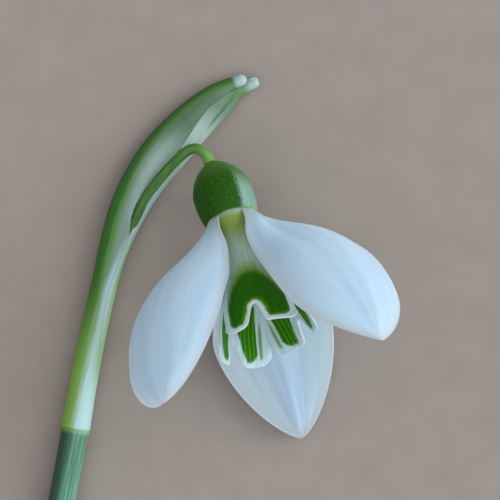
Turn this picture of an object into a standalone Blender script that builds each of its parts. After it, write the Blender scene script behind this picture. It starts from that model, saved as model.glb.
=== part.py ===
"""A snowdrop flower, cut and laid on its side: scape, spathe, pedicel, ovary, six tepals,
six stamens and a style, each a closed solid of its own.

The flower lies on the plane z = 0, which the scape, the spathe and the back outer tepal touch.
+X runs from the scape towards the flower, +Y from the cut end towards the spathe's tip.
"""

import math

import bmesh
import bpy
import numpy as np
from mathutils import Matrix

MM = 0.001

# Whole flower: where its box's bottom centre lies in the drawing below
DRAWING_CENTRE = (-4.13 * MM, -12.74 * MM)

# How finely the solids are divided
STALK_RESOLUTION = 2
SCAPE_RESOLUTION = 4
SPATHE_ROWS, SPATHE_COLUMNS = 30, 19
OUTER_ROWS, OUTER_COLUMNS = 17, 11
INNER_ROWS, INNER_COLUMNS = 13, 15
OVARY_ROWS, OVARY_STEPS = 12, 24
STAMEN_STEPS, STYLE_STEPS = 8, 10
WELD = 0.004 * MM

# Scape (flower stalk) and spathe (the bract round the pedicel)
SCAPE_DIAMETER = 2.76 * MM
SCAPE_LENGTH = 25.0 * MM
NODE_GAP = 0.1 * MM
SPATHE_THICKNESS = 0.3 * MM
# the spathe's middle line, node to tip, as it lies
SPATHE_LINE = [
    (-17.6, -18.0),
    (-16.1, -10.0),
    (-15.0, -5.0),
    (-13.7, 0.2),
    (-12.0, 4.6),
    (-9.3, 8.9),
    (-5.4, 12.7),
    (-1.4, 15.6),
    (0.3, 16.8),
]
# (share of the length, half width across) and (share, half height off the table)
SPATHE_WIDTHS = [(0.0, 1.5), (0.2, 1.28), (0.4, 1.26), (0.55, 1.65), (0.72, 2.1), (0.86, 1.95), (1.0, 1.3)]
SPATHE_HEIGHTS = [(0.0, 1.45), (0.2, 1.28), (0.4, 1.25), (0.75, 1.35), (0.9, 1.15), (1.0, 0.85)]
# the slit's two lips, as shares of the width counted from the keel at -X
SLIT_FROM = 0.43
SLIT_LIP_NEAR = [(0.0, 0.86), (SLIT_FROM, 0.86), (0.52, 0.62), (0.72, 0.52), (0.86, 0.49), (1.0, 0.45)]
SLIT_LIP_FAR = [(0.0, 0.86), (SLIT_FROM, 0.86), (0.52, 0.98), (0.72, 0.92), (0.86, 0.56), (1.0, 0.50)]
TIP_FROM, TIP_CLOSING = 0.93, 0.45

# Pedicel (the thin stalk that carries the flower)
PEDICEL_RADIUS = 0.52 * MM
# thinner inside the sheath: (share of the length, share of the radius)
PEDICEL_TAPER = [(0.0, 0.72), (0.55, 0.72), (0.7, 1.0), (1.0, 1.0)]
PEDICEL_POINTS = 40
PEDICEL_LINE = [
    (-17.4, -17.7, 1.40),
    (-15.9, -10.0, 1.28),
    (-14.7, -4.5, 1.30),
    (-13.75, -0.4, 1.45),
    (-12.5, 1.6, 1.85),
    (-11.3, 3.5, 2.50),
    (-9.9, 5.5, 3.10),
    (-8.3, 7.5, 3.55),
    (-6.5, 9.2, 4.00),
    (-5.1, 9.9, 4.25),
    (-4.2, 9.6, 4.35),
    (-3.9, 9.0, 4.42),
]

# Flower head: the centre of the ovary's lower rim, and which way the flower faces
RIM_CENTRE = (-1.8, 3.0, 6.82)
FLOWER_LEAN = 17.0
FLOWER_TILT = 24.0
OVARY_LEAN = 20.0
OVARY_LENGTH = 6.6 * MM
# (share of the length from the rim, radius)
OVARY_PROFILE = [
    (0.0, 2.62),
    (0.12, 2.85),
    (0.35, 2.98),
    (0.52, 2.94),
    (0.66, 2.72),
    (0.78, 2.32),
    (0.88, 1.75),
    (0.95, 1.15),
    (1.0, 0.55),
]

TEPAL_THICKNESS = 0.42 * MM
OUTER_BASE = dict(ring=2.42, drop=0.35)
# each list below gives (share of the length, value); angles are in degrees from the flower's axis
OUTER_OUTLINE = [(0.0, 0.14), (0.08, 0.22), (0.22, 0.62), (0.38, 0.93), (0.52, 1.03), (1.0, 1.03)]
OUTER_CUP = [(0.0, 42), (0.2, 52), (0.5, 52), (0.8, 45), (1.0, 40)]
OUTER_TIP_FROM = 0.42
OUTER_TIP_POWERS = (2.3, 0.62)
OUTER_TEPALS = dict(
    left=dict(
        azimuth=-57.0,
        length=24.6,
        half_width=6.4,
        spread=[(0.0, 58), (0.15, 51), (0.5, 31), (1.0, 8)],
        sway=[(0.0, 0), (0.5, 0), (1.0, -6)],
        roll=[(0.0, 0), (0.3, -26), (1.0, -30)],
    ),
    right=dict(
        azimuth=58.0,
        length=25.4,
        half_width=6.8,
        spread=[(0.0, 56), (0.15, 51), (0.5, 29), (1.0, 5)],
        sway=[(0.0, 4), (0.3, 8), (1.0, 1)],
        roll=[(0.0, 0), (0.3, 26), (1.0, 26)],
    ),
    back=dict(
        azimuth=180.0,
        length=22.9,
        half_width=6.2,
        spread=[(0.0, 60), (0.15, 52), (0.5, 32), (1.0, 10)],
        sway=[(0.0, 0), (1.0, 1)],
        roll=[(0.0, 0), (1.0, 0)],
    ),
)

INNER_BASE = dict(ring=1.5, drop=0.30)
INNER_OUTLINE = [(0.0, 0.30), (0.28, 0.35), (0.5, 0.58), (0.65, 0.80), (0.8, 0.95), (1.0, 1.0)]
INNER_CUP = [(0.0, 51), (0.3, 49), (0.5, 52), (0.8, 51), (1.0, 48)]
INNER_LENGTH = 14.2
INNER_HALF_WIDTH = 4.15
INNER_SPREAD = [(0.0, 3), (0.3, 7), (0.5, 22), (0.65, 24), (0.85, 13), (1.0, 10)]
INNER_NOTCH_DEPTH, INNER_NOTCH_WIDTH = 0.15, 0.25
INNER_CORNER, INNER_CORNER_POWER = 0.10, 5
INNER_AZIMUTHS = dict(front=0.0, left=-120.0, right=120.0)

# Stamens and style, inside the inner tepals
STAMEN_COUNT = 6
STAMEN_RING = 0.80 * MM
STAMEN_DROP = 0.25 * MM
STAMEN_LEAN = 1.0
# (distance below the rim, radius)
STAMEN_PROFILE = [(0.0, 0.14), (1.5, 0.12), (1.9, 0.27), (3.2, 0.30), (5.2, 0.22), (6.6, 0.08), (7.4, 0.03)]
STYLE_PROFILE = [(0.0, 0.20), (3.0, 0.16), (6.5, 0.20), (8.3, 0.15), (8.9, 0.05)]

COLOURS = dict(
    scape=(0.045, 0.16, 0.075),
    spathe=(0.20, 0.36, 0.20),
    pedicel=(0.07, 0.20, 0.03),
    ovary=(0.035, 0.12, 0.012),
    outer_tepal=(0.80, 0.86, 0.90),
    inner_tepal=(0.62, 0.72, 0.58),
    stamen=(0.80, 0.45, 0.06),
    style=(0.55, 0.65, 0.30),
)
ROUGHNESS = dict(ovary=0.35, stamen=0.6)


def smooth(keys, at):
    """A smooth curve through (place, value) keys that never overshoots them, read at each place."""
    places, values = np.array(keys, float).T
    steps = np.diff(values) / np.diff(places)
    slopes = np.zeros(len(places))
    slopes[0], slopes[-1] = steps[0], steps[-1]
    for i in range(1, len(places) - 1):
        before, after = steps[i - 1], steps[i]
        if before * after > 0:
            slopes[i] = 2 / (1 / before + 1 / after)
    at = np.clip(np.asarray(at, float), places[0], places[-1])
    i = np.clip(np.searchsorted(places, at, side="right") - 1, 0, len(places) - 2)
    wide = places[i + 1] - places[i]
    x = (at - places[i]) / wide
    return (
        values[i] * (1 + 2 * x) * (1 - x) ** 2
        + slopes[i] * wide * x * (1 - x) ** 2
        + values[i + 1] * x * x * (3 - 2 * x)
        + slopes[i + 1] * wide * x * x * (x - 1)
    )


def curve_through(points, count):
    """Evenly spaced points on one smooth curve through the given points."""
    points = np.asarray(points, float)
    run = np.concatenate([[0], np.cumsum(np.linalg.norm(np.diff(points, axis=0), axis=1))])
    slopes = np.gradient(points, run, axis=0)
    at = np.linspace(0, run[-1], 400)
    i = np.clip(np.searchsorted(run, at, side="right") - 1, 0, len(run) - 2)
    wide = (run[i + 1] - run[i])[:, None]
    x = (at - run[i])[:, None] / wide
    fine = (
        points[i] * (1 + 2 * x) * (1 - x) ** 2
        + slopes[i] * wide * x * (1 - x) ** 2
        + points[i + 1] * x * x * (3 - 2 * x)
        + slopes[i + 1] * wide * x * x * (x - 1)
    )
    along = np.concatenate([[0], np.cumsum(np.linalg.norm(np.diff(fine, axis=0), axis=1))])
    even = np.linspace(0, along[-1], count)
    return np.stack([np.interp(even, along, fine[:, k]) for k in range(3)], axis=-1)


def unit(vectors):
    return vectors / np.linalg.norm(vectors, axis=-1, keepdims=True)


def flower_axes(lean, tilt):
    """Unit vectors: along the flower's axis to its mouth, towards its upper side, and across."""
    lean, tilt = math.radians(lean), math.radians(tilt)
    along = np.array(
        [math.cos(tilt) * math.sin(lean), -math.cos(tilt) * math.cos(lean), math.sin(tilt)]
    )
    across = np.array([math.cos(lean), math.sin(lean), 0.0])
    return along, np.cross(along, across), across


def turned(vectors, about, angles):
    """Vectors turned about unit vectors by angles in radians."""
    c, s = np.cos(angles)[:, None], np.sin(angles)[:, None]
    lengthwise = about * np.sum(about * vectors, axis=-1, keepdims=True)
    return vectors * c + np.cross(about, vectors) * s + lengthwise * (1 - c)


def start():
    for obj in list(bpy.data.objects):
        bpy.data.objects.remove(obj, do_unlink=True)
    flower = bpy.data.collections.new("snowdrop_flower")
    bpy.context.scene.collection.children.link(flower)
    return flower


def material(kind):
    found = bpy.data.materials.get(kind)
    if found:
        return found
    made = bpy.data.materials.new(kind)
    made.use_nodes = True
    shader = made.node_tree.nodes["Principled BSDF"]
    shader.inputs["Base Color"].default_value = (*COLOURS[kind], 1.0)
    shader.inputs["Roughness"].default_value = ROUGHNESS.get(kind, 0.5)
    shader.inputs["Metallic"].default_value = 0.0
    return made


def placed(points):
    """Drawing coordinates moved so that the box's bottom centre is the origin."""
    return np.asarray(points, float) - np.array([*DRAWING_CENTRE, 0.0])


def add_object(flower, name, data, kind):
    obj = bpy.data.objects.new(name, data)
    flower.objects.link(obj)
    data.materials.append(material(kind))
    return obj


def add_sheet(flower, name, kind, grid, thickness):
    """A curved sheet from a grid of points, given its thickness by Solidify."""
    rows, columns = grid.shape[:2]
    mesh = bpy.data.meshes.new(name)
    shape = bmesh.new()
    corners = [[shape.verts.new(point) for point in row] for row in placed(grid)]
    for i in range(rows - 1):
        for j in range(columns - 1):
            shape.faces.new(
                (corners[i][j], corners[i + 1][j], corners[i + 1][j + 1], corners[i][j + 1])
            )
    bmesh.ops.remove_doubles(shape, verts=shape.verts, dist=WELD)
    bmesh.ops.recalc_face_normals(shape, faces=shape.faces)
    shape.to_mesh(mesh)
    shape.free()
    mesh.shade_smooth()
    obj = add_object(flower, name, mesh, kind)
    wall = obj.modifiers.new("thickness", "SOLIDIFY")
    wall.thickness = thickness
    wall.offset = 0.0
    wall.use_even_offset = False
    return obj


def add_tube(flower, name, kind, line, radius, shares, sides):
    """A round stalk along a line of points, with its thickness changed by shares."""
    curve = bpy.data.curves.new(name, "CURVE")
    curve.dimensions = "3D"
    curve.bevel_depth = radius
    curve.bevel_resolution = sides
    curve.use_fill_caps = True
    path = curve.splines.new("POLY")
    path.points.add(len(line) - 1)
    for point, place, share in zip(path.points, placed(line), shares):
        point.co = (*place, 1.0)
        point.radius = share
    path.use_smooth = True
    return add_object(flower, name, curve, kind)


def add_turned(flower, name, kind, profile, base, axis, steps):
    """A turned solid: (distance, radius) along the axis from the base, closed at both ends."""
    mesh = bpy.data.meshes.new(name)
    shape = bmesh.new()
    first, last = profile[0][0], profile[-1][0]
    outline = [(first, 0.0), *profile, (last, 0.0)]
    verts = [shape.verts.new((radius, 0.0, -distance)) for distance, radius in outline]
    for a, b in zip(verts, verts[1:]):
        shape.edges.new((a, b))
    shape.to_mesh(mesh)
    shape.free()
    obj = add_object(flower, name, mesh, kind)
    turn = obj.modifiers.new("turn", "SCREW")
    turn.steps = turn.render_steps = steps
    turn.use_merge_vertices = True
    turn.merge_threshold = WELD
    turn.use_smooth_shade = True
    down = -unit(np.asarray(axis, float))
    side = unit(np.cross([0.0, 0.0, 1.0], down))
    frame = np.column_stack([side, np.cross(down, side), down])
    obj.rotation_euler = Matrix(frame.tolist()).to_euler()
    obj.location = placed(base)
    return obj


def tepal_grid(rim, axes, base, outline, cup, spec, lengths, across):
    """Points of a tepal's middle surface: rows along its length, columns across its width."""
    along, front, side = axes
    azimuth = math.radians(spec["azimuth"])
    outward = math.cos(azimuth) * front + math.sin(azimuth) * side
    sideways = np.cross(along, outward)
    places = np.linspace(0, 1, 120)
    spread = np.radians(smooth(spec["spread"], places))[:, None]
    sway = np.radians(smooth(spec["sway"], places))[:, None]
    heading = (
        np.cos(spread) * np.cos(sway) * along
        + np.sin(spread) * np.cos(sway) * outward
        + np.sin(sway) * sideways
    )
    step = spec["length"] * MM * places[1]
    rib = np.vstack([np.zeros(3), np.cumsum((heading[1:] + heading[:-1]) * step / 2, axis=0)])
    rib += rim + outward * base["ring"] * MM + along * base["drop"] * MM
    facing = np.cos(spread) * outward - np.sin(spread) * along
    facing = unit(facing - heading * np.sum(heading * facing, axis=-1, keepdims=True))
    facing = turned(facing, heading, np.radians(smooth(spec["roll"], places)))
    width_way = np.cross(heading, facing)

    def read(table):
        return np.stack([np.interp(lengths, places, table[:, k]) for k in range(3)], axis=-1)

    half = spec["half_width"] * MM * outline(lengths)
    arc = np.radians(smooth(cup, lengths))
    radius = half / arc
    angle = arc * across
    return (
        read(rib)
        + (radius * np.sin(angle))[..., None] * read(width_way)
        - (radius * (1 - np.cos(angle)))[..., None] * read(facing)
    )


def shares_of(rows, columns):
    """A grid of places on a tepal: 0 to 1 along its length, -1 to 1 across its width."""
    return np.meshgrid(np.linspace(0, 1, rows), np.linspace(-1, 1, columns), indexing="ij")


def outer_outline(lengths):
    """Half width of an outer tepal: a claw, a spoon, and a rounded tip."""
    u = np.clip((lengths - OUTER_TIP_FROM) / (1 - OUTER_TIP_FROM), 0, 1)
    power, rounding = OUTER_TIP_POWERS
    return smooth(OUTER_OUTLINE, lengths) * (1 - u**power) ** rounding


def inner_outline(lengths):
    return smooth(INNER_OUTLINE, lengths)


def add_outer_tepals(flower, rim, axes):
    lengths, across = shares_of(OUTER_ROWS, OUTER_COLUMNS)
    for side, spec in OUTER_TEPALS.items():
        grid = tepal_grid(rim, axes, OUTER_BASE, outer_outline, OUTER_CUP, spec, lengths, across)
        add_sheet(flower, "outer_tepal_" + side, "outer_tepal", grid, TEPAL_THICKNESS)


def add_inner_tepals(flower, rim, axes):
    shares, across = shares_of(INNER_ROWS, INNER_COLUMNS)
    notch = INNER_NOTCH_DEPTH * np.exp(-((across / INNER_NOTCH_WIDTH) ** 2))
    corner = INNER_CORNER * np.abs(across) ** INNER_CORNER_POWER
    lengths = shares * (1 - notch - corner)
    for side, azimuth in INNER_AZIMUTHS.items():
        spec = dict(
            azimuth=azimuth,
            length=INNER_LENGTH,
            half_width=INNER_HALF_WIDTH,
            spread=INNER_SPREAD,
            sway=[(0.0, 0), (1.0, 0)],
            roll=[(0.0, 0), (1.0, 0)],
        )
        grid = tepal_grid(rim, axes, INNER_BASE, inner_outline, INNER_CUP, spec, lengths, across)
        add_sheet(flower, "inner_tepal_" + side, "inner_tepal", grid, TEPAL_THICKNESS)


def add_spathe(flower):
    """A sheath that opens along a slit into two hooded keels, lying along the table."""
    rows = SPATHE_ROWS
    shares = np.linspace(0, 1, rows)
    line = curve_through([(x * MM, y * MM, 0.0) for x, y in SPATHE_LINE], rows)
    way = unit(np.gradient(line, axis=0))
    keel_way = np.stack([-way[:, 1], way[:, 0], np.zeros(rows)], axis=-1)
    half_wall = SPATHE_THICKNESS / 2
    width = smooth(SPATHE_WIDTHS, shares) * MM - half_wall
    height = smooth(SPATHE_HEIGHTS, shares) * MM - half_wall
    near = np.arccos(1 - 2 * smooth(SLIT_LIP_NEAR, shares))
    far = np.arccos(1 - 2 * smooth(SLIT_LIP_FAR, shares)) - 2 * math.pi
    angle = near[:, None] + (far - near)[:, None] * np.linspace(0, 1, SPATHE_COLUMNS)
    closing = np.clip((shares - TIP_FROM) / (1 - TIP_FROM), 0, 1) ** 2
    narrow = (1 - TIP_CLOSING * closing)[:, None]
    grid = line[:, None, :] + (width[:, None] * np.cos(angle) * narrow)[..., None] * keel_way[:, None]
    grid[..., 2] = half_wall + height[:, None] * (1 + np.sin(angle) * narrow)
    grid[..., 2] -= (grid[..., 2].min(axis=1) - half_wall)[:, None]
    add_sheet(flower, "spathe", "spathe", grid, SPATHE_THICKNESS)
    return line, way


def add_scape(flower, node, way):
    """A straight cut stalk that continues the spathe's line below the node."""
    top = node - way * NODE_GAP
    line = np.array([top, top - way * SCAPE_LENGTH])
    line[:, 2] = SCAPE_DIAMETER / 2
    add_tube(flower, "scape", "scape", line, SCAPE_DIAMETER / 2, (1.0, 1.0), SCAPE_RESOLUTION)


def add_pedicel(flower):
    line = curve_through(np.array(PEDICEL_LINE) * MM, PEDICEL_POINTS)
    shares = smooth(PEDICEL_TAPER, np.linspace(0, 1, PEDICEL_POINTS))
    add_tube(flower, "pedicel", "pedicel", line, PEDICEL_RADIUS, shares, STALK_RESOLUTION)


def add_ovary(flower, rim):
    along, _, _ = flower_axes(OVARY_LEAN, FLOWER_TILT)
    places = np.linspace(0, 1, OVARY_ROWS)
    profile = [(p * OVARY_LENGTH, r * MM) for p, r in zip(places, smooth(OVARY_PROFILE, places))]
    add_turned(flower, "ovary", "ovary", profile, rim, -along, OVARY_STEPS)


def add_inside(flower, rim, axes):
    """The style on the axis, and the stamens in a ring round it."""
    along, front, side = axes
    profile = [(d * MM, r * MM) for d, r in STYLE_PROFILE]
    add_turned(flower, "style", "style", profile, rim + along * STAMEN_DROP, along, STYLE_STEPS)
    profile = [(d * MM, r * MM) for d, r in STAMEN_PROFILE]
    for number in range(STAMEN_COUNT):
        turn = math.radians(360 * (number + 0.5) / STAMEN_COUNT)
        outward = math.cos(turn) * front + math.sin(turn) * side
        base = rim + outward * STAMEN_RING + along * STAMEN_DROP
        lean = math.radians(STAMEN_LEAN)
        axis = math.cos(lean) * along - math.sin(lean) * outward
        add_turned(flower, f"stamen_{number + 1}", "stamen", profile, base, axis, STAMEN_STEPS)


def main():
    flower = start()
    rim = np.array(RIM_CENTRE) * MM
    axes = flower_axes(FLOWER_LEAN, FLOWER_TILT)
    line, way = add_spathe(flower)
    add_scape(flower, line[0], way[0])
    add_pedicel(flower)
    add_ovary(flower, rim)
    add_outer_tepals(flower, rim, axes)
    add_inner_tepals(flower, rim, axes)
    add_inside(flower, rim, axes)


main()
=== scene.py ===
import math
from functools import reduce
from types import SimpleNamespace

import bpy
import numpy as np
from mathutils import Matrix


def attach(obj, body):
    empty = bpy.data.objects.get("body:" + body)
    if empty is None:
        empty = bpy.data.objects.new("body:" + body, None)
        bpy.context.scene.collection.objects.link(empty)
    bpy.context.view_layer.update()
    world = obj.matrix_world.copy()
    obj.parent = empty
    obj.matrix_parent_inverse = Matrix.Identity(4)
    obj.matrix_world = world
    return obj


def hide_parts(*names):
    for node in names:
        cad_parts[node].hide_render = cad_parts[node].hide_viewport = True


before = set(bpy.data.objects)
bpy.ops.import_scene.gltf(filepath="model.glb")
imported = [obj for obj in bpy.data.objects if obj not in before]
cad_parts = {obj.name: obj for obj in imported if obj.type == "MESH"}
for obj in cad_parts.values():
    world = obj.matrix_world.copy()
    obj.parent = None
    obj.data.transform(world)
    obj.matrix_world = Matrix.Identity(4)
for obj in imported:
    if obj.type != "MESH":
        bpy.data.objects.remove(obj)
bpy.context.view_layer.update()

MM = 0.001
UP = np.array([0.0, 0.0, 1.0])

# Where the box's bottom centre lies in the drawing that the lines below are given in
DRAWING_CENTRE = np.array([-4.13, -12.74, 0.0])

# -------- stalks and spathe
SCAPE_RADIUS, SCAPE_LENGTH, SCAPE_FLAT = 1.38, 25.0, 0.96
# how much thinner than its solid the stalk is, its grooves and their depth, as shares of the radius
SCAPE_THINNED, SCAPE_GROOVES, SCAPE_GROOVE_DEPTH = 0.02, 9, 0.012
# the node's swelling, as a share of the radius, and how far down it reaches
NODE_SWELL, NODE_REACH = 0.09, 0.7
# how far the domed top and the cut end stand out
SCAPE_TOP_RISE, SCAPE_CUT_RISE = 0.12, 0.03

SPATHE_LINE = [
    (-17.6, -18.0), (-16.1, -10.0), (-15.0, -5.0), (-13.7, 0.2), (-12.0, 4.6), (-9.4, 8.8),
    (-8.0, 10.5), (-6.2, 12.4), (-3.9, 14.5), (-1.5, 16.2), (0.1, 17.0),
]
# half width across the line, and half height off the table
SPATHE_WIDTHS = [
    (0, 1.42), (0.1, 1.31), (0.37, 1.27), (0.43, 1.38), (0.57, 1.88), (0.72, 2.2),
    (0.8, 2.12), (0.88, 1.84), (0.95, 1.5), (1, 1.22),
]
SPATHE_HEIGHTS = [(0, 1.45), (0.2, 1.28), (0.4, 1.25), (0.75, 1.35), (0.9, 1.15), (1, 0.85)]
# the wall, and the share of it that is gone at the slit's lips
SPATHE_WALL, LIP_THINNED = 0.26, 0.55
# the seam, and the slit's two lips above it, as shares of the width counted from the keel at -X
SLIT_FROM = 0.49
SEAM = [
    (0, 0.97), (0.08, 0.96), (0.15, 0.915), (0.25, 0.8), (0.33, 0.71), (0.38, 0.755),
    (0.43, 0.83), (SLIT_FROM, 0.845),
]
SLIT_LIP_NEAR = SEAM + [
    (0.515, 0.765), (0.54, 0.68), (0.58, 0.63), (0.625, 0.67), (0.675, 0.72),
    (0.753, 0.725), (0.795, 0.65), (0.845, 0.538), (0.891, 0.462), (1, 0.468),
]
SLIT_LIP_FAR = SEAM + [
    (0.505, 0.865), (0.54, 0.882), (0.615, 0.88), (0.66, 0.855), (0.7, 0.82),
    (0.753, 0.738), (0.795, 0.66), (0.845, 0.546), (0.891, 0.469), (1, 0.475),
]
# the second keel's angle round the sheath, from the first
SECOND_KEEL = [
    (0, 200), (0.5, 215), (0.75, 190), (0.83, 140), (0.87, 131), (0.912, 123), (0.962, 109),
    (1, 121),
]
KEEL_RISE, KEEL_REACH = 0.1, 0.28
# the sheath rolls up into two hoods: where along it that begins, where the two come apart, the
# share of its columns that the first one takes, and how round their ends are
HOODS_FROM, HOODS_APART_FROM, FIRST_HOOD_SHARE, HOOD_BEND = 0.9, 0.955, 0.583, 82
# each hood: sideways from the line, along it, height of its middle, radius, where its keel points
# and how far its valve is rolled up
HOODS = dict(
    first=dict(aside=0.47, ahead=-0.94, high=0.86, radius=0.62, keel=0.0, roll=1.72),
    second=dict(aside=-0.22, ahead=0.2, high=0.8, radius=0.45, keel=125.0, roll=2.4),
)

PEDICEL_RADIUS = 0.52
PEDICEL_TAPER = [(0, 0.72), (0.5, 0.72), (0.62, 0.98), (0.9, 1.0), (0.97, 1.08), (1, 1.25)]
PEDICEL_LINE = [
    (-17.4, -17.7, 1.4), (-15.9, -10.0, 1.28), (-14.7, -4.5, 1.3), (-13.7, -1.0, 1.35),
    (-12.45, 1.4, 1.45), (-11.55, 3.2, 1.85), (-10.65, 5.1, 2.35), (-9.5, 6.65, 2.9),
    (-8.0, 8.4, 3.45), (-6.8, 9.55, 3.9), (-6.0, 10.1, 4.1), (-5.3, 10.15, 4.25),
    (-4.65, 9.75, 4.38), (-4.0, 8.8, 4.45),
]

# -------- flower head
RIM_CENTRE = (-1.8, 3.0, 6.82)
FLOWER_LEAN, FLOWER_TILT, OVARY_LEAN = 17.0, 24.0, 20.0
OVARY_LENGTH = 6.6
# the ovary's radius, from the rim to its top
OVARY_PROFILE = [
    (0, 2.62), (0.12, 2.85), (0.35, 2.98), (0.52, 2.94), (0.66, 2.65), (0.78, 2.22),
    (0.88, 1.66), (0.95, 1.1), (1, 0.55),
]
# soft flat sides: how many, where one of the ridges between them lies, and how flat they are
OVARY_FLATS, OVARY_RIDGE, OVARY_FLATNESS = 6, 121.0, 0.16
# the flank with a pale waxy bloom and a painted sheen, from and to
OVARY_SHEEN_FLANK = (121.0, 205.0)
UNDERSIDE_RISE = 0.3

OUTER_RING = 2.46
# the arc that a tepal's half width bends through
OUTER_CUP = [(0, 20), (0.12, 34), (0.25, 52), (0.5, 52), (0.8, 45), (1, 40)]
BACK_CUP = [(0, 42), (0.2, 40), (0.5, 33), (0.8, 30), (1, 30)]
OUTER_TIP_FROM = 0.42
# near and far are the outlines of the two sides, as shares of half_width; near is the side at -1.
# spread, sway and roll are angles from the flower's axis: outward, sideways and about the midrib
OUTER_TEPALS = dict(
    left=dict(
        azimuth=-57.0, length=25.1, half_width=6.4,
        near=[(0, 0.22), (0.06, 0.31), (0.16, 0.61), (0.3, 0.88), (0.5, 0.97), (1, 1)],
        far=[
            (0, 0.16), (0.06, 0.19), (0.1, 0.28), (0.22, 0.66), (0.38, 0.98), (0.52, 1.04),
            (0.72, 0.93), (1, 0.95),
        ],
        tip=(2.3, 0.62), spread=[(0, 30), (0.1, 42), (0.22, 50), (0.5, 32), (1, 8)],
        sway=[(0, 0), (0.3, -1), (1, -12)], roll=[(0, 0), (0.3, -26), (1, -30)],
    ),
    right=dict(
        azimuth=58.0, length=27.4, half_width=6.8,
        near=[
            (0, 0.2), (0.06, 0.18), (0.12, 0.36), (0.2, 0.62), (0.34, 0.92), (0.46, 1.04),
            (0.6, 0.97), (1, 0.76),
        ],
        far=[
            (0, 0.17), (0.06, 0.27), (0.16, 0.57), (0.26, 0.79), (0.4, 0.96), (0.56, 1.06),
            (0.75, 1.2), (1, 1.52),
        ],
        tip=(2.6, 0.88), spread=[(0, 32), (0.1, 43), (0.22, 51), (0.5, 31), (1, 4)],
        sway=[(0, 9), (0.3, 9), (0.6, 10), (1, 19)], roll=[(0, 0), (0.3, 26), (1, 26)],
    ),
    back=dict(
        azimuth=180.0, length=23.1, half_width=6.0,
        near=[(0, 0.14), (0.08, 0.22), (0.22, 0.6), (0.38, 0.94), (0.52, 1.1), (1, 1.18)],
        far=[(0, 0.14), (0.08, 0.22), (0.22, 0.66), (0.38, 1), (0.52, 1.12), (1, 1.06)],
        tip=(1.9, 0.72), spread=[(0, 60), (0.15, 51), (0.5, 31), (1, 11)],
        sway=[(0, 4), (0.5, 1), (1, -3)], roll=[(0, 0), (1, 0)],
    ),
)
OUTER_WALL, OUTER_EDGE, OUTER_EDGE_REACH = 0.36, 0.07, 1.6
# lengthwise folds: (how many across the width, height), and how strong they are in each
OUTER_FOLDS = [(2.3, 0.06), (4.1, 0.022), (8.5, 0.006)]
OUTER_FOLDED = dict(left=0.35, right=1.5, back=0.7)
# narrow lengthwise ridges: (share of the half width, height)
OUTER_RIDGES = dict(
    left=[(0.1, 0.02)], right=[(-0.1, 0.07), (0.13, 0.05)], back=[(0, -0.04), (0.3, 0.02)]
)
OUTER_RIDGE_WIDTH, OUTER_RIDGE_SLANT = 0.06, 0.12
# folds and ridges fade towards the rim (mm), the foot and the tip
FOLDS_RIM, FOLDS_FOOT, FOLDS_TIP = (0, 1.5), (0.04, 0.2), (1, 0.85)

INNER_OUTLINE = [
    (0, 0.45), (0.12, 0.44), (0.28, 0.45), (0.5, 0.66), (0.65, 0.84), (0.8, 0.96), (1, 1),
]
INNER_CUP = [(0, 51), (0.3, 49), (0.5, 52), (0.8, 51), (1, 48)]
INNER_SPREAD = [(0, 3), (0.3, 7), (0.5, 22), (0.65, 24), (0.85, 13), (1, 10)]
STRAIGHT = [(0, 0.0), (1, 0.0)]
INNER_TEPALS = dict(
    front=dict(
        azimuth=0.0, ring=2.5, length=14.6, half_width=4.1, notch_at=0.03,
        sway=[(0, 0.0), (0.4, 0.5), (1, 0.8)],
    ),
    left=dict(azimuth=-126.0, ring=1.5, length=14.6, half_width=4.35, notch_at=0.0, sway=STRAIGHT),
    right=dict(azimuth=128.0, ring=1.5, length=14.1, half_width=4.15, notch_at=0.0, sway=STRAIGHT),
)
INNER_NOTCH_DEPTH, INNER_NOTCH_WIDTHS, INNER_NOTCH_POWER = 0.16, (0.11, 0.22), 2.6
INNER_CORNER, INNER_CORNER_POWER = 0.075, 7
INNER_WALL, INNER_EDGE_REACH = 0.26, 0.12
INNER_FLARE, INNER_FLARE_REACH = 0.16, 1.3
# the green mark on the outer face: where its top lies on the middle line, how it drops aside, and
# the white margin round it
MARK_TOP, MARK_DROP, MARK_MARGIN = 6.9, 0.4, 0.44
# the stripes on the inner face, in mm each side of the middle line, and one line's pitch
STRIPES_MIDDLE, STRIPES_HALF, LONE_STRIPE, STRIPE_PITCH = 1.72, 1.18, 3.2, 0.47

STAMEN_COUNT = 6
STAMEN_RING, STAMEN_DROP, STAMEN_LEAN = 0.8, 0.25, 1.0
# (distance below the rim, radius)
STAMEN_PROFILE = [
    (0, 0.14), (1.5, 0.12), (1.9, 0.27), (3.2, 0.3), (5.2, 0.22), (6.6, 0.08), (7.4, 0.03),
]
STYLE_PROFILE = [(0, 0.2), (3.0, 0.16), (6.5, 0.2), (8.3, 0.15), (8.9, 0.05)]

# -------- where one tone turns to another
# as shares of the organ's length
CLAW = (0.03, 0.14)
FOOT_PALE, FOOT_OLIVE, WAIST_END = (0.015, 0.06), (0.12, 0.32), (0.42, 0.62)
# on the ovary: the painted highlight at its top, where the flank's bloom and painted sheen fades
# and changes tone, and the rim
OVARY_PAINTED_HIGHLIGHT, OVARY_BLOOM_AND_SHEEN_END, OVARY_SHEEN_TONES, OVARY_RIM = (0.5, 0.95), (0.3, 0.8), (0.15, 0.75), 0.025
SHEATH_END, FRESH_END, SEAM_END = (0.1, 0.46), (0.1, 0.4), (0.38, SLIT_FROM)
KEEL_LINE_FROM = (0.82, 0.87)
PEDICEL_BEND = (0.91, 1.0)
# in mm
MARGIN_FROM, STRIPES_FROM, ANTHER_FROM = (8.0, 10.0), (4.5, 7.5), (1.4, 1.8)

# -------- view and light
CAMERA_OVER, CAMERA_HEIGHT, SENSOR = (4.13, 12.74), 500.0, 36.0
# how much of the plane at this height the picture shows
VIEW_WIDTH, VIEW_PLANE = 50.0, 6.0
FLOOR_REACH = 20000.0
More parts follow.
